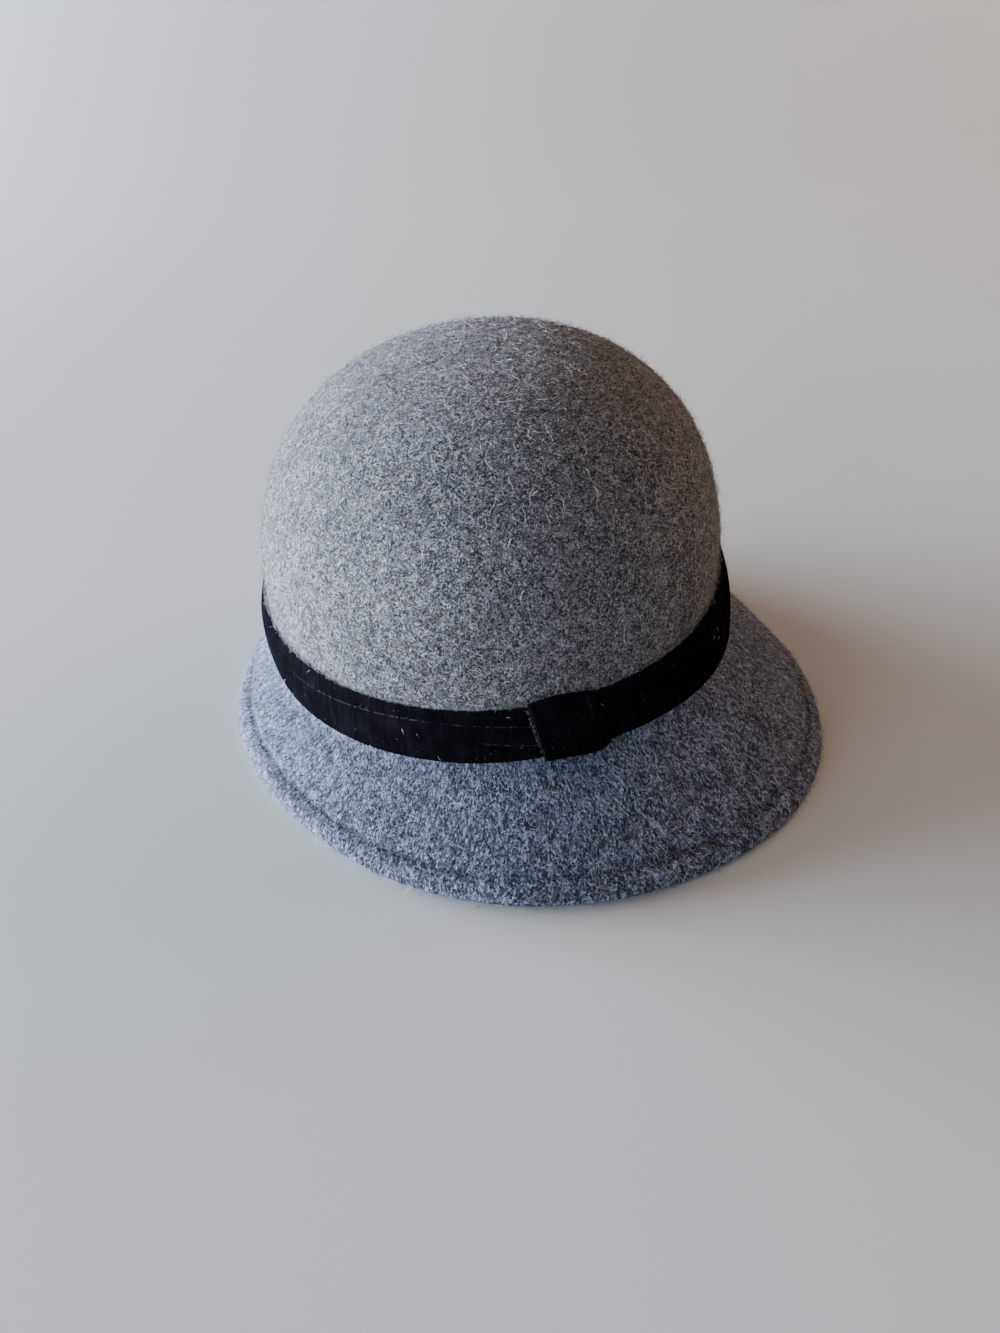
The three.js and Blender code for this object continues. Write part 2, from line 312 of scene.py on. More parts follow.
def smooth_share(value, low, high):
    share = min(max((value - low) / (high - low), 0.0), 1.0)
    return share * share * (3.0 - 2.0 * share)


def around(shares, turn):
    """A smooth value of one row of stations at a turn in radians."""
    count = len(shares)
    place = (math.degrees(turn) / 360.0 % 1.0) * count
    index = int(place)
    share = place - index
    a, b, c, d = (shares[(index + step) % count] for step in (-1, 0, 1, 2))
    slope_b, slope_c = (c - a) / 2.0, (d - b) / 2.0
    return (b + slope_b * share + (3.0 * (c - b) - 2.0 * slope_b - slope_c) * share ** 2
            + (2.0 * (b - c) + slope_b + slope_c) * share ** 3)


class Hat:
    """The lines of the hat, each cut a plane through the crown's axis, as radius and height."""

    def __init__(self, scene):
        self.form = scene.cloche_form
        self.trim = scene.cloche_trim
        self.level = self.form.foot_height + self.trim.band_height
        edge = [self.edge_of_brim(math.radians(turn)) for turn in range(0, 360, 5)]
        self.shift = Vector([-(min(p[axis] for p in edge) + max(p[axis] for p in edge)) / 2.0
                             for axis in (0, 1)] + [0.0])

    def plane_rise(self, turn, radius):
        form = self.form
        slope = form.side_slope * math.cos(turn) + form.back_slope * math.sin(turn)
        return radius * slope - form.saddle * math.cos(2.0 * turn)

    def wall_top(self, turn):
        form = self.form
        width = form.head_half_width + form.felt_wall
        length = form.head_half_length + form.felt_wall
        radius = width * length / math.hypot(length * math.cos(turn), width * math.sin(turn))
        return Vector((radius, self.level + self.plane_rise(turn, radius)))

    def wall_foot(self, turn):
        radius = self.wall_top(turn).x + self.form.wall_flare * around(FLARE, turn)
        return Vector((radius, self.form.foot_height + self.plane_rise(turn, radius)))

    def dome(self, turn, steps):
        form = self.form
        top = self.wall_top(turn)
        line = []
        for step in range(steps):
            rise = math.cos(step / steps * math.pi / 2.0)
            spread = (1.0 - rise ** form.dome_power) ** (1.0 / form.dome_power)
            height = self.level + form.crown_rise * rise + (top.y - self.level) * spread
            line.append(Vector((top.x * spread, height)))
        return line

    def brim(self, turn):
        """The brim's outside as a function of distance, the fold's centre, length and slope."""
        form = self.form
        foot = self.wall_foot(turn)
        down = (foot - self.wall_top(turn)).normalized()
        start = foot + down * form.break_drop
        reach = form.brim_reach * around(REACH, turn)
        fold = Vector((foot.x + reach - form.hem_radius, form.hem_radius - form.hem_flat))
        chord = fold - start
        swell = form.brim_swell * reach / form.brim_reach
        slope = math.atan2(-chord.y, chord.x) + math.atan(math.pi * swell / chord.length)
        end = fold + Vector((math.sin(slope), math.cos(slope))) * form.hem_radius
        along = end - start
        length = along.length
        lift = Vector((-along.y, along.x)) / length

        def at(distance):
            share = distance / length
            return start + along * share + lift * (swell * math.sin(math.pi * share))

        return at, fold, length, slope

    def break_line(self, turn, brim_point, steps):
        top, foot = self.wall_top(turn), self.wall_foot(turn)
        down = (foot - top).normalized()
        lip = foot + down * self.form.foot_lip
        corner = foot + down * self.form.break_drop
        line = [top.lerp(foot, share) for share in (0.0, 0.3, 0.6, 0.85, 1.0)]
        for step in range(steps):
            share = step / steps
            line.append(lip.lerp(corner, share).lerp(corner.lerp(brim_point, share), share))
        return line

    def relief(self, distance, length):
        """How far the stitched hem lifts or sinks the brim's outside."""
        form = self.form
        away = distance - (length - form.groove_setback)
        if abs(away) < form.groove_half_width:
            turn = math.pi * away / form.groove_half_width
            return -form.groove_depth * (0.5 + 0.5 * math.cos(turn))
        if away > 0.0:
            room = form.groove_setback - form.groove_half_width
            return form.hem_puff * math.sin(math.pi * (away - form.groove_half_width) / room)
        return 0.0

    def felt_section(self, turn):
        """One cut through the felt: down its outside, round the fold and up its inside."""
        form = self.form
        at, fold, length, slope = self.brim(turn)
        groove = length - form.groove_setback
        half = form.groove_half_width
        distances = [form.break_blend + (groove - half - form.break_blend) * step / BRIM_ROWS
                     for step in range(BRIM_ROWS)]
        distances += [groove - half + 2.0 * half * step / GROOVE_ROWS
                      for step in range(GROOVE_ROWS)]
        distances += [groove + half + (length - groove - half) * step / EDGE_ROWS
                      for step in range(EDGE_ROWS + 1)]
        smooth = self.dome(turn, DOME_ROWS) + self.break_line(turn, at(distances[0]), BREAK_ROWS)
        first = len(smooth)
        smooth += [at(distance) for distance in distances]
        outwards = []
        for index in range(len(smooth)):
            along = smooth[min(index + 1, len(smooth) - 1)] - smooth[max(index - 1, 0)]
            along.normalize()
            outwards.append(Vector((-along.y, along.x)) if index else Vector((0.0, 1.0)))
        outside, inside = [], []
        for index, (point, out) in enumerate(zip(smooth, outwards)):
            distance = distances[index - first] if index >= first else 0.0
            lift = self.relief(distance, length) if index >= first else 0.0
            outside.append(point + out * lift)
            if index % 2 == 0 or index > first + 14:
                folded = smooth_share(distance, length - form.hem_turn_up - 0.7 * MM,
                                      length - form.hem_turn_up + 0.3 * MM)
                dent = UNDER_DENT * min(lift, 0.0) * folded
                wall = form.felt_wall + (2.0 * form.hem_radius - form.felt_wall) * folded
                inside.append(point - out * (wall + dent))
        outside[0].x = inside[0].x = 0.0
        round_start = math.pi / 2.0 - slope
        turns = [round_start - math.pi * step / FOLD_ROWS for step in range(1, FOLD_ROWS)]
        hem = [fold + Vector((math.cos(a), math.sin(a))) * form.hem_radius for a in turns]
        for point in hem:
            point.y = max(point.y, 0.0)
        return outside + hem + inside[::-1]

    def placed(self, turn, radius, height):
        form = self.form
        share = min(max((height - self.level) / form.crown_rise, 0.0), 1.0)
        return Vector((radius * math.cos(turn) + form.lean_left * share,
                       radius * math.sin(turn) + form.lean_back * share, height))

    def edge_of_brim(self, turn):
        fold = self.brim(turn)[1]
        return self.placed(turn, fold.x + self.form.hem_radius, fold.y)

    def seam(self, turn, below):
        """A place on the hem's seam, over or under the brim, and its outward direction."""
        form = self.form
        at, _, length, _ = self.brim(turn)
        middle = length - form.groove_setback
        along = (at(middle + MM) - at(middle - MM)).normalized()
        out = Vector((-along.y, along.x))
        under = 2.0 * form.hem_radius - UNDER_DENT * form.groove_depth
        point = at(middle) - out * (under if below else form.groove_depth)
        out = -out if below else out
        place = self.placed(turn, point.x, point.y) + self.shift
        facing = Vector((out.x * math.cos(turn), out.x * math.sin(turn), out.y))
        return place + facing * lump(place, form.lump_height), facing

    def on_wall(self, turn, up, out):
        """A place on the crown's wall: a turn, a height along it and a distance out from it."""
        top, foot = self.wall_top(turn), self.wall_foot(turn)
        rise = (top - foot).normalized()
        share = min(max(up / self.trim.band_height, 0.0), 1.0)
        slack = self.trim.band_slack * around(SLACK, turn) * math.sin(math.pi * share)
        point = foot + rise * up + Vector((rise.y, -rise.x)) * (out + slack)
        return self.placed(turn, point.x, point.y) + self.shift

    def tucks(self):
        end = self.trim.strap_turn - TUCK_BEFORE_STRAP
        return [(start, end, low, high, bow) for start, low, high, bow in TUCKS]

    def tuck_sink(self, turn, up):
        trim = self.trim
        sink = 0.0
        for start, end, low, high, bow in self.tucks():
            share = (math.degrees(turn) - start) / (end - start)
            if 0.0 < share < 1.0:
                rise = bow * math.sin(math.pi * share ** TUCK_SKEW)
                height = trim.band_height * (low + (high - low) * share + rise)
                fade = smooth_share(share, 0.0, TUCK_FADE)
                away = (up - height) / trim.tuck_half_width
                sink += trim.tuck_depth * fade * math.exp(-away * away)
        return sink


def maths_method(operation, swapped=False):
    """A method of Value that makes a maths node of a value and another."""
    def method(self, other):
        return self.maths(operation, *((other, self) if swapped else (self, other)))

    return method


class Value:
    """A shader socket that Python expressions can be written on."""

    def __init__(self, shader, socket):
        self.shader = shader
        self.socket = socket

    def maths(self, operation, *values):
        return self.shader.node("ShaderNodeMath", {"operation": operation}, dict(enumerate(values)))

    __add__ = __radd__ = maths_method("ADD")
    __sub__ = maths_method("SUBTRACT")
    __rsub__ = maths_method("SUBTRACT", swapped=True)
    __mul__ = __rmul__ = maths_method("MULTIPLY")
    __truediv__ = maths_method("DIVIDE")
    __rtruediv__ = maths_method("DIVIDE", swapped=True)
    __pow__ = maths_method("POWER")

    def __abs__(self):
        return self.maths("ABSOLUTE", self)

    def sine(self):
        return self.maths("SINE", self)

    def step(self, low, high):
        """0 below low, 1 above high and smooth between them."""
        values = {"Value": self, "From Min": low, "From Max": high}
        return self.shader.node("ShaderNodeMapRange", {"interpolation_type": "SMOOTHSTEP"}, values)


class Shader:
    """The nodes of one material."""

    def __init__(self, name):
        self.material = bpy.data.materials.new(name)
        self.material.use_nodes = True
        self.tree = self.material.node_tree
        self.surface = self.tree.nodes["Principled BSDF"]

    def node(self, kind, settings=None, values=None, output=0):
        made = self.tree.nodes.new(kind)
        for name, setting in (settings or {}).items():
            setattr(made, name, setting)
        for name, value in (values or {}).items():
            self.give(made.inputs[name], value)
        return Value(self, made.outputs[output])

    def give(self, socket, value):
        if isinstance(value, Value):
            self.tree.links.new(value.socket, socket)
        else:
            socket.default_value = value

    def set(self, **values):
        for name, value in values.items():
            self.give(self.surface.inputs[name.replace("_", " ")], value)

    def place(self):
        return self.node("ShaderNodeTexCoord", output="Object")

    def vector(self, operation, *values):
        return self.node("ShaderNodeVectorMath", {"operation": operation},
                         dict(enumerate(values)))

    def parts(self, vector):
        """The three values of a vector."""
        split = self.node("ShaderNodeSeparateXYZ", None, {0: vector}).socket.node
        return [Value(self, socket) for socket in split.outputs]

    def noise(self, place, size, detail, roughness, distortion=0.0):
        values = {"Vector": place, "Scale": 1.0 / size, "Detail": detail,
                  "Roughness": roughness, "Distortion": distortion}
        return self.node("ShaderNodeTexNoise", None, values)

    def fibres(self, place, size, width, distortion):
        """1 along thin curly lines and 0 between them."""
        ridge = abs(self.noise(place, size, 2.0, 0.6, distortion) - 0.5)
        return 1.0 - ridge.step(0.0, width)

    def mix(self, share, first, second, blend="MIX"):
        first, second = (colour if isinstance(colour, Value) else (*colour, 1.0)
                         for colour in (first, second))
        return self.node("ShaderNodeMix", {"data_type": "RGBA", "blend_type": blend},
                         {0: share, 6: first, 7: second}, output=2)

    def bump(self, height, distance, strength):
        values = {"Height": height, "Distance": distance, "Strength": strength}
        return self.node("ShaderNodeBump", None, values)


def wool_tone(shader, grain, size):
    """Darkness and paleness of heather wool: specks, clumps and curly fibres."""
    pale = shader.fibres(grain, 1.8 * size, 0.062, 1.4)
    finer = shader.fibres(shader.vector("ADD", grain, (0.31, 0.17, 0.05)), 1.2 * size, 0.062, 1.8)
    dark = shader.fibres(shader.vector("ADD", grain, (0.11, 0.43, 0.29)), 1.7 * size, 0.060, 1.0)
    speck = shader.noise(grain, 0.72 * size, 3.0, 0.65)
    clump = shader.noise(grain, 3.2 * size, 3.0, 0.65)
    return ((speck - 0.5) * 1.9 + (clump - 0.5) * 0.8 + pale * 0.52 + finer * 0.44 - dark * 0.30
            - 0.16)


def felt_material(wool, hat):
    """Heather felt: short pale and dark fibres in every direction, running down on the brim, with
    painted shade in the stitched groove and a painted cool light on the brim.
    """
    form = hat.form
    shader = Shader("heather_felt")
    place = shader.place()
    x, y, z = shader.parts(place)
    east, north = x - hat.shift.x, y - hat.shift.y
    radius = (east * east + north * north) ** 0.5
    below = z - form.foot_height - east * form.side_slope - north * form.back_slope
    brim = 1.0 - below.step(4.0 * MM, 12.0 * MM)
    around_hat = shader.node("ShaderNodeCombineXYZ", None, {
        0: east / radius * BRIM_GRAIN_RADIUS, 1: north / radius * BRIM_GRAIN_RADIUS,
        2: (radius - z) * BRIM_GRAIN_STRETCH})
    crown_tone = wool_tone(shader, place, 1.0 * MM)
    brim_tone = wool_tone(shader, around_hat, 1.0 * MM)
    cloud = shader.noise(place, 24.0 * MM, 3.0, 0.55)
    # The groove attribute paints shade: the felt's colour is darkened in the stitched groove, where
    # shade falls.
    groove = shader.node("ShaderNodeAttribute", {"attribute_name": "groove"}, output="Fac")
    tone = (crown_tone + (brim_tone - crown_tone) * brim) * 1.25 + (cloud - 0.5) * 0.36 + 0.40
    shade = tone - groove * 0.17
    colour = shader.mix(shade.step(0.02, 0.62), wool.dark, wool.middle)
    colour = shader.mix(shade.step(0.50, 1.35), colour, wool.pale)
    tint = shader.noise(place, 5.0 * MM, 2.0, 0.6)
    colour = shader.mix(tint.step(0.45, 0.72) * 0.16, colour, wool.fleck)
    # Painted cool light: the brim's colour is tinted bluer than the crown's.
    colour = shader.mix(brim, colour, shader.mix(1.0, colour, wool.brim_painted_cool_light, "MULTIPLY"))
    rough = shader.noise(place, 2.0 * MM, 2.0, 0.5) * 0.2 + 0.78
    shader.set(Base_Color=colour, Roughness=rough, Sheen_Weight=0.03, Sheen_Roughness=0.6,
               Specular_IOR_Level=0.10, Normal=shader.bump(tone, 0.16 * MM, 0.7))
    return shader.material


def fibre_material(name, colour, spread):
    """Loose wool fibres, each part of the hat a little paler or darker than the next."""
    shader = Shader(name)
    mood = shader.noise(shader.place(), 1.3 * MM, 1.0, 0.5)
    darker = tuple(channel * (1.0 - spread) for channel in colour)
    shader.set(Base_Color=shader.mix(mood.step(0.3, 0.7), darker, colour), Roughness=0.8,
               Sheen_Weight=0.1, Specular_IOR_Level=0.2)
    return shader.material


def velvet_material(name, trim, hat, strap):
    """Black velvet: short pile, faintly streaked, rubbed pale along its tucks or its edge, with a
    painted highlight along the strap's fold.
    """
    shader = Shader(name)
    cloth = shader.node("ShaderNodeUVMap", {"uv_map": "cloth"})
    place = shader.place()
    across, up, _ = shader.parts(cloth)
    pile = shader.noise(place, 0.35 * MM, 3.0, 0.7)
    nap = shader.noise(shader.vector("MULTIPLY", cloth, (12.0 if strap else 260.0, 1.2, 1.0)),
                       1.0, 3.0, 0.6)
    soft = shader.noise(place, 7.0 * MM, 2.0, 0.5)
    paler = tuple(channel * 2.2 for channel in trim.velvet)
    colour = shader.mix((nap * 0.6 + soft * 0.5).step(0.45, 0.75), trim.velvet, paler)
    dust = shader.noise(shader.vector("ADD", place, (0.2, 0.4, 0.6)), 0.55 * MM, 2.0, 0.8)
    colour = shader.mix(dust.step(0.66, 0.78) * 0.22, colour, trim.worn_and_highlight)
    if strap:
        broken = shader.noise(place, 0.9 * MM, 2.0, 0.8)
        edge = 1.0 - (across * trim.strap_width).step(0.15 * MM, 0.75 * MM)
        colour = shader.mix(edge * broken.step(0.52, 0.66) * 0.45, colour, trim.worn_and_highlight)
        # Painted highlight: a faint pale line down the strap's fold, on its upper part.
        fold = 1.0 - abs(across - up * 0.05 - 0.80).step(0.0, 0.035)
        colour = shader.mix(fold * up.step(0.4, 1.0) * 0.10, colour, trim.worn_and_highlight)
    else:
        broken = shader.noise(shader.vector("MULTIPLY", cloth, (420.0, 10.0, 1.0)), 1.0, 3.0, 0.7)
        for start, end, low, high, bow in hat.tucks():
            share = (across * 360.0 - start) / (end - start)
            inside = share.step(0.0, 0.35) * (1.0 - share.step(0.985, 1.0))
            rise = ((share.maths("MAXIMUM", share, 0.0) ** TUCK_SKEW) * math.pi).sine() * bow
            away = abs(up - (share * (high - low) + low + rise)) * trim.band_height
            line = (1.0 - away.step(0.10 * MM, 0.36 * MM)) * inside * broken.step(0.42, 0.70) * 0.8
            colour = shader.mix(line, colour, trim.worn_and_highlight)
    shader.set(Base_Color=colour, Roughness=0.85 + pile * 0.12, Specular_IOR_Level=0.0,
               Normal=shader.bump(pile + nap * 0.5, 0.12 * MM, 0.6))
    return shader.material


def add_object(name, data):
    made = bpy.data.objects.new(name, data)
    bpy.context.scene.collection.objects.link(made)
    return made


def finish_piece(mesh, material, node=None):
    """Puts a finished mesh in the scene as a piece of the hat."""
    piece = add_object(mesh.name, mesh)
    mesh.materials.append(material)
    mesh.shade_smooth()
    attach(piece, "root")
    if node:
        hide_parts(node)


def settled(name, form):
    """The form's mesh, with its faces put in one order and each started at its first corner.

    The operators may leave them in another order in another run, and the fibres follow it."""
    form.verts.index_update()
    rings = []
    for face in form.faces:
        ring = [corner.index for corner in face.verts]
        start = ring.index(min(ring))
        rings.append(ring[start:] + ring[:start])
    mesh = bpy.data.meshes.new(name)
    mesh.from_pydata([corner.co for corner in form.verts], [], sorted(rings))
    form.free()
    return mesh


def lathe(name, sections, closed):
    """A lathe whose cuts are then moved to the sections, one for each step round it."""
    count = len(sections[0])
    steps = len(sections)
    form = bmesh.new()
    line = []
    for index in range(count):
        on_axis = not closed and index in (0, count - 1)
        line.append(form.verts.new((0.0 if on_axis else 1.0, 0.0, float(index))))
    edges = [form.edges.new((line[index], line[index + 1])) for index in range(count - 1)]
    if closed:
        edges.append(form.edges.new((line[-1], line[0])))
    bmesh.ops.spin(form, geom=line + edges, cent=(0.0, 0.0, 0.0), axis=(0.0, 0.0, 1.0),
                   angle=2.0 * math.pi, steps=steps, use_merge=True, use_duplicate=False)
    bmesh.ops.remove_doubles(form, verts=form.verts, dist=1e-4)
    for corner in form.verts:
        turn = math.atan2(corner.co.y, corner.co.x) % (2.0 * math.pi)
        step = round(turn / (2.0 * math.pi) * steps) % steps
        corner.co = sections[step][round(corner.co.z)]
    bmesh.ops.recalc_face_normals(form, faces=form.faces)
    if form.calc_volume(signed=True) < 0.0:
        bmesh.ops.reverse_faces(form, faces=form.faces)
    return settled(name, form)


def turns_round(steps):
    return [2.0 * math.pi * step / steps for step in range(steps)]


def quarter_turn(steps):
    return [math.pi / 2.0 * step / steps for step in range(steps + 1)]


def lump(place, height):
    """How far blocked felt, never quite even, is lifted or sunk at a place."""
    if place.z < 1.5 * MM:
        return 0.0
    broad = noise.noise(place / (24.0 * MM))
    fine = noise.noise(place / (6.0 * MM) + Vector((7.0, 3.0, 1.0)))
    return height * (broad + 0.35 * fine)


def lumpy(mesh, height):
    """Lifts and sinks a felt surface a little."""
    normals = [corner.vector.copy() for corner in mesh.vertex_normals]
    for corner, normal in zip(mesh.vertices, normals):
        corner.co += normal * lump(corner.co, height)


def cloth_uv(mesh, across, up):
    """A UV map from a value across and a value up for each corner, where across may wrap at 1."""
    layer = mesh.uv_layers.new(name="cloth")
    for face in mesh.polygons:
        shares = [across[mesh.loops[loop].vertex_index] for loop in face.loop_indices]
        wraps = max(shares) - min(shares) > 0.5
        for loop, share in zip(face.loop_indices, shares):
            index = mesh.loops[loop].vertex_index
            layer.data[loop].uv = (share + 1.0 if wraps and share < 0.5 else share, up[index])


class CLOCHE_OT_felt_body(bpy.types.Operator):
    """Build the crown and brim as one shell of blocked felt with its folded hem"""

    bl_idname = "cloche.felt_body"
    bl_label = "Felt crown and brim"

    def execute(self, context):
        hat = Hat(context.scene)
        steps = context.scene.cloche_form.round_steps
        sections = []
        for turn in turns_round(steps):
            cut = hat.felt_section(turn)
            sections.append([hat.placed(turn, point.x, point.y) + hat.shift for point in cut])
        mesh = lathe("felt_shell", sections, closed=False)
        self.mark_groove_shade(mesh, hat)
        lumpy(mesh, context.scene.cloche_form.lump_height)
        finish_piece(mesh, felt_material(context.scene.cloche_wool, hat), "felt_body")
        return {"FINISHED"}

    def mark_groove_shade(self, mesh, hat):
        """Stores how near each corner of the outside lies to the stitched groove's bottom, for the
        shade painted into the groove on the felt's colour.
        """
        form = hat.form
        layer = mesh.attributes.new("groove", "FLOAT", "POINT")
        for index, corner in enumerate(mesh.vertices):
            at = corner.co - hat.shift
            turn = math.atan2(at.y, at.x)
            line, _, length, _ = hat.brim(turn)
            middle = line(length - form.groove_setback)
            place = Vector((math.hypot(at.x, at.y), at.z))
            away = (place - middle).length / (0.75 * form.groove_half_width)
            layer.data[index].value = math.exp(-away * away)


class CLOCHE_OT_band(bpy.types.Operator):
    """Build the velvet band with its pressed tucks"""

    bl_idname = "cloche.band"
    bl_label = "Velvet band"

    def execute(self, context):
        hat = Hat(context.scene)
        trim = context.scene.cloche_trim
        edge, face_rows, corner_steps = 0.5 * MM, 52, 4
        inner, outer = trim.fit_gap, trim.fit_gap + trim.band_thickness
        flat = [(trim.band_height * share, inner) for share in (0.97, 0.75, 0.5, 0.25, 0.03)]
        flat += [(edge - edge * math.cos(bend), outer - edge + edge * math.sin(bend))
                 for bend in quarter_turn(corner_steps)]
        span = trim.band_height - 2.0 * edge
        flat += [(edge + span * row / face_rows, outer) for row in range(1, face_rows)]
        flat += [(trim.band_height - edge + edge * math.sin(bend),
                  outer - edge + edge * math.cos(bend)) for bend in quarter_turn(corner_steps)]
        sections = []
        for turn in turns_round(360):
            cut = []
            for up, out in flat:
                share = (out - inner) / trim.band_thickness
                sway = noise.noise(Vector((math.cos(turn), math.sin(turn), up / 0.03)) * 6.0)
                sink = hat.tuck_sink(turn, up) - 0.10 * MM * sway
                cut.append(hat.on_wall(turn, up, out - sink * share))
            sections.append(cut)
        mesh = lathe("velvet_band", sections, closed=True)
        turns, heights = [], []
        for corner in mesh.vertices:
            at = corner.co - hat.shift
            turn = math.atan2(at.y, at.x)
            turns.append(turn / (2.0 * math.pi) % 1.0)
            foot, top = hat.wall_foot(turn), hat.wall_top(turn)
            rise = (top - foot).normalized()
            from_foot = Vector((math.hypot(at.x, at.y), at.z)) - foot
            heights.append(from_foot.dot(rise) / trim.band_height)
        cloth_uv(mesh, turns, heights)
        finish_piece(mesh, velvet_material("black_velvet", trim, hat, False), "band")
        return {"FINISHED"}


class CLOCHE_OT_strap(bpy.types.Operator):
    """Build the strap wrapped round the band at the front"""

    bl_idname = "cloche.strap"
    bl_label = "Wrapped strap"

    def execute(self, context):
        hat = Hat(context.scene)
        trim = context.scene.cloche_trim
        thick = trim.strap_thickness
        inner = trim.fit_gap + trim.band_thickness + trim.fit_gap
        outer = inner + thick
        tip = trim.fit_gap + trim.band_thickness - trim.strap_lip
        bottom = -trim.fit_gap - thick
        lid = trim.band_height + trim.strap_rise
        top = lid + thick
        bend = 1.25 * thick
        rows, corner_steps, steps = 24, 5, 56
        line = [(tip, bottom + 0.3 * thick), (tip + 0.3 * thick, bottom)]
        line += [(outer - bend + bend * math.sin(a), bottom + bend - bend * math.cos(a))
                 for a in quarter_turn(corner_steps)]
        line += [(outer, bottom + bend + (top - bottom - 2.0 * bend) * row / rows)
                 for row in range(1, rows)]
        line += [(outer - bend + bend * math.cos(a), top - bend + bend * math.sin(a))
                 for a in quarter_turn(corner_steps)]
        line += [(tip + 0.3 * thick, top), (tip, top - 0.3 * thick), (tip, lid + 0.25 * thick),
                 (tip + 0.25 * thick, lid), (inner, lid)]
        line += [(inner, lid - (lid + trim.fit_gap) * row / rows) for row in range(1, rows + 1)]
        line += [(tip + 0.25 * thick, -trim.fit_gap), (tip, -trim.fit_gap - 0.25 * thick)]
        form = bmesh.new()
        corners = [form.verts.new((out, up, 0.0)) for out, up in line]
        moved = [form.faces.new(corners)]
        for step in range(steps):
            made = bmesh.ops.extrude_face_region(form, geom=moved)["geom"]
            bmesh.ops.delete(form, geom=moved if step else [], context="FACES_ONLY")
            moved = [item for item in made if isinstance(item, bmesh.types.BMFace)]
            ring = [item for item in made if isinstance(item, bmesh.types.BMVert)]
            bmesh.ops.translate(form, verts=ring, vec=(0.0, 0.0, 1.0 / steps))
        form.verts.index_update()
        shares, heights = [], []
        for corner in form.verts:
            out, up, share = corner.co
            shares.append(share)
            heights.append(up / trim.band_height)
            corner.co = self.bent(hat, out, up, share, (inner, outer))
        bmesh.ops.recalc_face_normals(form, faces=form.faces)
        mesh = settled("velvet_strap", form)
        cloth_uv(mesh, shares, heights)
        finish_piece(mesh, velvet_material("strap_velvet", trim, hat, True), "band_loop")
        return {"FINISHED"}

    def bent(self, hat, out, up, share, faces):
        """A place of the straight strap moved to the hat, its ends rounded, its edges uneven."""
        trim = hat.trim
        inner, outer = faces
        thick = outer - inner
        from_end = min(share, 1.0 - share) * trim.strap_width
        soft = 0.7 * MM
        on_face = trim.fit_gap < up + trim.fit_gap * 2.0 < trim.band_height + trim.strap_rise
        if from_end < soft and on_face and out > inner - 0.1 * MM:
            sink = 1.0 - math.sqrt(max(0.0, 1.0 - (1.0 - from_end / soft) ** 2))
            out += ((inner + outer) / 2.0 - out) * 0.8 * sink
        if up > trim.band_height:
            hump = 0.32 - 0.26 * share + 0.80 * math.sin(math.pi * share ** 0.95)
            up = trim.band_height + (up - trim.band_height) * hump
        elif up < 0.0:
            sag = 1.0 + 1.05 * math.exp(-((share - 0.70) / 0.20) ** 2)
            sag *= 1.0 - 0.62 * smooth_share(share, 0.90, 1.0)
            up *= sag
        if out > inner + 0.2 * thick:
            out += 0.22 * MM * noise.noise(Vector((share * 4.0, up * 60.0, 3.0)))
            out += 0.25 * MM * math.sin(math.pi * share)
        lean = trim.strap_slope * (trim.band_height / 2.0 - up)
        along = (share - 0.5) * trim.strap_width + lean
        middle = math.radians(trim.strap_turn)
        return hat.on_wall(middle + along / hat.wall_top(middle).x, up, out)


def unit(vectors):
    return vectors / (np.linalg.norm(vectors, axis=1)[:, None] + 1e-9)


def fibres_mesh(name, place, out, way, length, radius, shape, rings):
    """Closed curly fibres, each a row of three-cornered rings between two tips.

    place, out and way are where each starts, its surface's outward direction and its own.
    shape holds each one's bow, wave and wave phase, as shares of its length, and its rise."""
    bow, wave, phase, rise = shape
    side = unit(np.cross(out, way))
    count = len(place)
    shares = np.linspace(0.0, 1.0, rings + 2)
    angles = np.arange(3) * 2.0 * np.pi / 3.0
    points = []
    for index, share in enumerate(shares):
        hump = 4.0 * share * (1.0 - share)
        sway = bow * hump + wave * np.sin(2.0 * np.pi * share + phase) * min(hump * 2.0, 1.0)
        middle = place + length * (way * share * np.cos(rise) + side * sway
                                   + out * share * np.sin(rise))
        if index in (0, rings + 1):
            points.append(middle[:, None])
            continue
        ring = [middle + radius * (side * np.cos(a) + out * np.sin(a)) for a in angles]
        points.append(np.stack(ring, axis=1))
    points = np.concatenate(points, axis=1)
    last = points.shape[1] - 1
    faces = []
    for step in range(3):
        a, b = 1 + step, 1 + (step + 1) % 3
        faces.append((0, b, a))
        for ring in range(rings - 1):
            low, high = 3 * ring, 3 * ring + 3
            faces += [(a + low, b + low, b + high), (a + low, b + high, a + high)]
        faces.append((last, a + 3 * (rings - 1), b + 3 * (rings - 1)))
    starts = np.arange(count)[:, None, None] * (last + 1)
    triangles = (np.array(faces)[None] + starts).reshape(-1, 3)
    points = points.reshape(-1, 3)
    points[:, 2] = np.maximum(points[:, 2], 0.05 * MM)
    mesh = bpy.data.meshes.new(name)
    mesh.vertices.add(len(points))
    mesh.vertices.foreach_set("co", points.ravel())
    mesh.loops.add(triangles.size)
    mesh.loops.foreach_set("vertex_index", triangles.ravel())
    mesh.polygons.add(len(triangles))
    mesh.polygons.foreach_set("loop_start", np.arange(0, triangles.size, 3))
    mesh.update(calc_edges=True)
    mesh.validate()
    return mesh


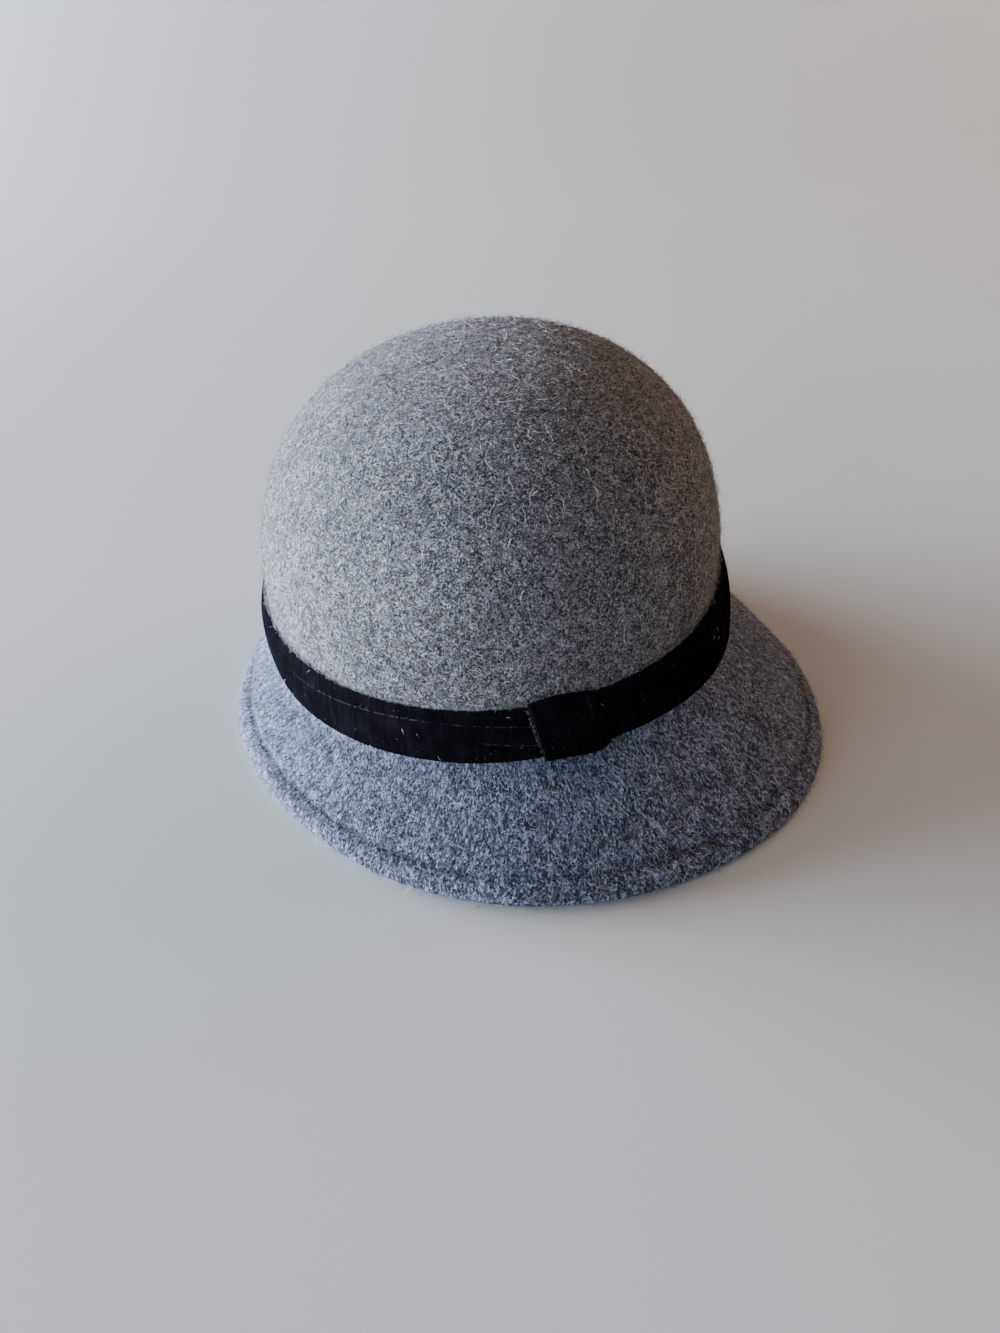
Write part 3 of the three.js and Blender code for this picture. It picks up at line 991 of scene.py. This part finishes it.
def scattered(mesh, hat, count, draw):
    """Places, outward directions and directions down the brim, spread over a mesh by its area."""
    number = len(mesh.polygons)
    area, centre, normal = np.empty(number), np.empty(number * 3), np.empty(number * 3)
    mesh.polygons.foreach_get("area", area)
    mesh.polygons.foreach_get("center", centre)
    mesh.polygons.foreach_get("normal", normal)
    centre, normal = centre.reshape(-1, 3), normal.reshape(-1, 3)
    from_axis = centre - np.array(hat.shift)
    from_axis[:, 2] = 0.0
    from_axis = unit(from_axis)
    outside = (normal * from_axis).sum(1) + normal[:, 2] * 0.9 > 0.0
    chance = area * np.where(outside, 1.0, 0.03)
    chosen = draw.choice(number, count, p=chance / chance.sum())
    out = normal[chosen]
    slide = draw.normal(0.0, 0.5, (count, 3)) * np.sqrt(area[chosen])[:, None]
    slide -= out * (slide * out).sum(1)[:, None]
    return centre[chosen] + slide, out, from_axis[chosen]


class CLOCHE_OT_stitches(bpy.types.Operator):
    """Sew the turned-up hem with small stitches, sunk in the groove and under the brim"""

    bl_idname = "cloche.stitches"
    bl_label = "Hem stitches"

    def execute(self, context):
        hat = Hat(context.scene)
        form, trim = hat.form, hat.trim
        solid = bmesh.new()
        for below in (False, True):
            turns = turns_round(720)
            seam = [hat.seam(turn, below) for turn in turns]
            gone = [0.0]
            for (first, _), (second, _) in zip(seam, seam[1:] + seam[:1]):
                gone.append(gone[-1] + (second - first).length)
            count = round(gone[-1] / trim.stitch_pitch)
            starts = np.interp(np.arange(count) * gone[-1] / count, gone, turns + [2.0 * math.pi])
            for turn in starts:
                place, out = hat.seam(turn, below)
                ahead = hat.seam(turn + 0.002, below)[0]
                way = (ahead - place).normalized()
                side = out.cross(way).normalized()
                out = way.cross(side)
                rise = trim.thread_radius * (0.35 if below else -0.1)
                frame = Matrix((way * trim.stitch_length / 2.0, side * trim.thread_radius,
                                out * trim.thread_radius)).transposed().to_4x4()
                frame.translation = place + out * rise
                bmesh.ops.create_uvsphere(solid, u_segments=6, v_segments=6, radius=1.0,
                                          matrix=frame @ Matrix.Rotation(math.pi / 2.0, 4, "Y"))
        bmesh.ops.recalc_face_normals(solid, faces=solid.faces)
        mesh = settled("hem_stitches", solid)
        thread = fibre_material("grey_thread", context.scene.cloche_wool.middle, 0.6)
        finish_piece(mesh, thread)
        return {"FINISHED"}


class CLOCHE_OT_fuzz(bpy.types.Operator):
    """Scatter short loose wool fibres and fewer long curly ones over the felt"""

    bl_idname = "cloche.fuzz"
    bl_label = "Wool fuzz"

    def execute(self, context):
        wool = context.scene.cloche_wool
        hat = Hat(context.scene)
        felt = bpy.data.objects["felt_shell"].data
        kinds = (("fuzz_pale", wool.pale, 0.5, wool.fibres, 1, 1.0),
                 ("fuzz_middle", wool.middle, 0.6, wool.fibres, 1, 1.0),
                 ("fuzz_dark", wool.dark, 0.3, wool.fibres, 1, 0.9),
                 ("fuzz_long", wool.pale, 0.45, wool.long_fibres, 5, 2.4),
                 ("stray_hairs", wool.pale, 0.3, wool.hairs, 7, 3.4))
        for index, (name, colour, spread, count, rings, size) in enumerate(kinds):
            draw = np.random.default_rng(wool.seed + index)
            place, out, down = scattered(felt, hat, count, draw)
            on_brim = np.where(place[:, 2] < BRIM_LEVEL, 2.0, 0.0)[:, None]
            way = draw.normal(0.0, 1.0, (count, 3)) + down * on_brim
            way = unit(way - out * (way * out).sum(1)[:, None])
            rise = np.radians(draw.uniform(2.0, 22.0, (count, 1))) / size
            stray = draw.random((count, 1)) < STRAY_SHARE
            tuft = (draw.random((count, 1)) < TUFT_SHARE) & (rings == 1) & ~stray
            rise = np.where(stray, np.radians(draw.uniform(25.0, 65.0, (count, 1))) / size, rise)
            rise = np.where(tuft, np.radians(draw.uniform(8.0, 50.0, (count, 1))), rise)
            length = wool.fibre_length * size * draw.uniform(0.5, 1.4, (count, 1))
            length *= np.where(stray & (rings == 1), 1.15, 1.0) * np.where(tuft, 0.75, 1.0)
            radius = wool.fibre_radius * draw.uniform(0.7, 1.3, (count, 1))
            radius *= np.where(stray, 1.3, 1.0) * np.where(tuft, 2.3, 1.0)
            radius *= 1.0 if rings == 1 else 1.5
            shape = (draw.normal(0.0, 0.15, (count, 1)),
                     draw.normal(0.0, 0.12, (count, 1)) * (rings > 1),
                     draw.uniform(0.0, 2.0 * np.pi, (count, 1)), rise)
            place = place - way * length * 0.5 + out * 0.03 * MM
            mesh = fibres_mesh(name, place, out, way, length, radius, shape, rings)
            finish_piece(mesh, fibre_material(name + "_wool", colour, spread))
        return {"FINISHED"}


class CLOCHE_OT_lint(bpy.types.Operator):
    """Scatter lint on the velvet, fray the strap's edge and lift wool over the band's top edge"""

    bl_idname = "cloche.lint"
    bl_label = "Lint and edge fibres"

    def execute(self, context):
        wool, trim = context.scene.cloche_wool, context.scene.cloche_trim
        hat = Hat(context.scene)
        draw = np.random.default_rng(wool.seed + 20)
        face = trim.fit_gap + trim.band_thickness
        lint = [self.on_band(hat, draw.uniform(0.0, 360.0), draw.uniform(0.06, 0.94),
                             face + 0.05 * MM, draw.uniform(0.0, 6.28)) for _ in range(150)]
        over = face + trim.fit_gap + trim.strap_thickness + 0.3 * MM
        lint += [self.on_band(hat, trim.strap_turn + draw.uniform(-4.5, 4.5),
                              draw.uniform(0.1, 0.9), over, draw.uniform(0.0, 6.28))
                 for _ in range(9)]
        radius = hat.wall_top(math.radians(trim.strap_turn)).x
        fray = []
        for _ in range(70):
            share = draw.uniform(0.02, 0.98)
            along = -trim.strap_width / 2.0 - draw.uniform(0.0, 0.5) * MM
            along += trim.strap_slope * (0.5 - share) * trim.band_height
            turn = trim.strap_turn + math.degrees(along / radius)
            out = face + draw.uniform(0.1, 0.9) * MM
            fray.append(self.on_band(hat, turn, share, out, draw.uniform(1.8, 4.2)))
        self.fibres("velvet_lint", draw, lint, (0.25, 1.7), 0.034 * MM, (0.17, 0.17, 0.19), 3)
        self.fibres("strap_fray", draw, fray, (0.4, 1.1), 0.035 * MM, (0.42, 0.42, 0.46), 3)
        top = [self.on_band(hat, draw.uniform(0.0, 360.0), 1.0 + draw.uniform(0.01, 0.07),
                            draw.uniform(0.2, 1.3) * MM, draw.normal(-1.57, 0.7))
               for _ in range(4200)]
        self.fibres("edge_wool", draw, top, (0.9, 2.4), 0.034 * MM, wool.pale, 1)
        return {"FINISHED"}

    def on_band(self, hat, turn, share, out, angle):
        """A place on the band, its outward direction and a way at an angle along its face."""
        turn = math.radians(turn)
        up = share * hat.trim.band_height
        place = hat.on_wall(turn, up, out)
        along = (hat.on_wall(turn + 0.004, up, out) - place).normalized()
        rise = (hat.on_wall(turn, up + 0.2 * MM, out) - place).normalized()
        return place, along.cross(rise), along * math.cos(angle) + rise * math.sin(angle)

    def fibres(self, name, draw, places, lengths, radius, colour, rings):
        place, out, way = (np.array([row[column] for row in places]) for column in range(3))
        count = len(place)
        length = draw.uniform(lengths[0], lengths[1], (count, 1)) * MM
        shape = (draw.normal(0.0, 0.2, (count, 1)), draw.normal(0.0, 0.12, (count, 1)),
                 draw.uniform(0.0, 2.0 * np.pi, (count, 1)), draw.uniform(0.0, 0.25, (count, 1)))
        mesh = fibres_mesh(name, place, unit(out), unit(way), length, radius, shape, rings)
        slot = "felt" if name == "edge_wool" else "velvet"
        finish_piece(mesh, fibre_material(name + "_fibre", colour, 0.5))


class CLOCHE_OT_studio(bpy.types.Operator):
    """Lay the pale floor and set the soft lights and the camera"""

    bl_idname = "cloche.studio"
    bl_label = "Studio"

    def execute(self, context):
        studio = context.scene.cloche_studio
        heading, pitch = math.radians(CAMERA_HEADING), math.radians(CAMERA_PITCH)
        forward = Vector((math.sin(heading) * math.cos(pitch), math.cos(heading) * math.cos(pitch),
                          -math.sin(pitch)))
        level_right = Vector((math.cos(heading), -math.sin(heading), 0.0))
        away = Vector((math.sin(heading), math.cos(heading), 0.0))
        self.lay_floor(studio, level_right, away)
        level_up = level_right.cross(forward)
        roll = math.radians(CAMERA_ROLL)
        right = level_right * math.cos(roll) - level_up * math.sin(roll)
        up = level_right * math.sin(roll) + level_up * math.cos(roll)
        lens = bpy.data.cameras.new("photographer")
        lens.lens = CAMERA_LENS
        lens.sensor_width = CAMERA_SENSOR
        lens.clip_start, lens.clip_end = 0.01, 100.0
        camera = add_object("photographer", lens)
        turn = Matrix((right, up, -forward)).transposed()
        camera.matrix_world = Matrix.Translation(CAMERA_PLACE) @ turn.to_4x4()
        context.scene.camera = camera
        for name, (across, far, height), size, power, colour in LAMPS:
            place = level_right * across + away * far + Vector((0.0, 0.0, height))
            self.lamp(name, place, size, getattr(studio, power), colour)
        world = bpy.data.worlds.new("studio")
        world.use_nodes = True
        light = world.node_tree.nodes["Background"]
        light.inputs["Color"].default_value = SKY_COLOUR
        light.inputs["Strength"].default_value = studio.sky
        context.scene.world = world
        return {"FINISHED"}

    def lay_floor(self, studio, level_right, away):
        """A pale floor that sweeps up to a wall behind the hat."""
        start, bend = studio.sweep_start, studio.sweep_radius
        form = bmesh.new()
        profile = [(-6.0, 0.0), (start, 0.0)]
        for step in range(1, 41):
            angle = math.radians(60.0 * step / 40)
            profile.append((start + bend * math.sin(angle), bend * (1.0 - math.cos(angle))))
        corners = [form.verts.new(away * along - level_right * 9.0 + Vector((0.0, 0.0, height)))
                   for along, height in profile]
        edges = [form.edges.new(pair) for pair in zip(corners, corners[1:])]
        made = bmesh.ops.extrude_edge_only(form, edges=edges)
        far = [item for item in made["geom"] if isinstance(item, bmesh.types.BMVert)]
        bmesh.ops.translate(form, verts=far, vec=level_right * 18.0)
        bmesh.ops.recalc_face_normals(form, faces=form.faces)
        mesh = settled("floor", form)
        if mesh.polygons[0].normal.z < 0.0:
            mesh.flip_normals()
        mesh.shade_smooth()
        floor = add_object("floor", mesh)
        shader = Shader("pale_floor")
        cloud = shader.noise(shader.place(), 0.6, 2.0, 0.5)
        darker = tuple(channel * 0.96 for channel in studio.floor)
        shader.set(Base_Color=shader.mix(cloud, studio.floor, darker), Roughness=0.75,
                   Specular_IOR_Level=0.2)
        mesh.materials.append(shader.material)

    def lamp(self, name, place, size, power, colour):
        light = bpy.data.lights.new(name, "AREA")
        light.shape = "RECTANGLE"
        light.size, light.size_y = size
        light.energy = power
        light.color = colour
        lamp = add_object(name, light)
        turn = (LAMP_AIM - place).to_track_quat("-Z", "Y").to_matrix()
        lamp.matrix_world = Matrix.Translation(place) @ turn.to_4x4()


class CLOCHE_PT_panel(bpy.types.Panel):
    """The pieces of the hat, in the order in which they are made"""

    bl_idname = "CLOCHE_PT_panel"
    bl_label = "Felt cloche"
    bl_space_type = "VIEW_3D"
    bl_region_type = "UI"
    bl_category = "Cloche"

    def draw(self, context):
        for group in GROUPS:
            settings = getattr(context.scene, group)
            column = self.layout.column(align=True)
            for name in settings.bl_rna.properties.keys():
                if name not in ("rna_type", "name"):
                    column.prop(settings, name)
        for operator in OPERATORS:
            self.layout.operator(operator.bl_idname)


GROUPS = {"cloche_form": ClocheForm, "cloche_trim": ClocheTrim, "cloche_wool": ClocheWool,
          "cloche_studio": ClocheStudio}
OPERATORS = (CLOCHE_OT_studio, CLOCHE_OT_felt_body, CLOCHE_OT_band, CLOCHE_OT_strap,
             CLOCHE_OT_stitches, CLOCHE_OT_fuzz, CLOCHE_OT_lint)


def register():
    for made in (*GROUPS.values(), *OPERATORS, CLOCHE_PT_panel):
        bpy.utils.register_class(made)
    for name, group in GROUPS.items():
        setattr(bpy.types.Scene, name, PointerProperty(type=group))


def unregister():
    for name in GROUPS:
        delattr(bpy.types.Scene, name)
    for made in (CLOCHE_PT_panel, *reversed(OPERATORS), *reversed(GROUPS.values())):
        bpy.utils.unregister_class(made)


def main():
    register()
    bpy.ops.cloche.studio()
    bpy.ops.cloche.felt_body()
    bpy.ops.cloche.band()
    bpy.ops.cloche.strap()
    bpy.ops.cloche.stitches()
    bpy.ops.cloche.fuzz()
    bpy.ops.cloche.lint()


if __name__ == "__main__":
    main()
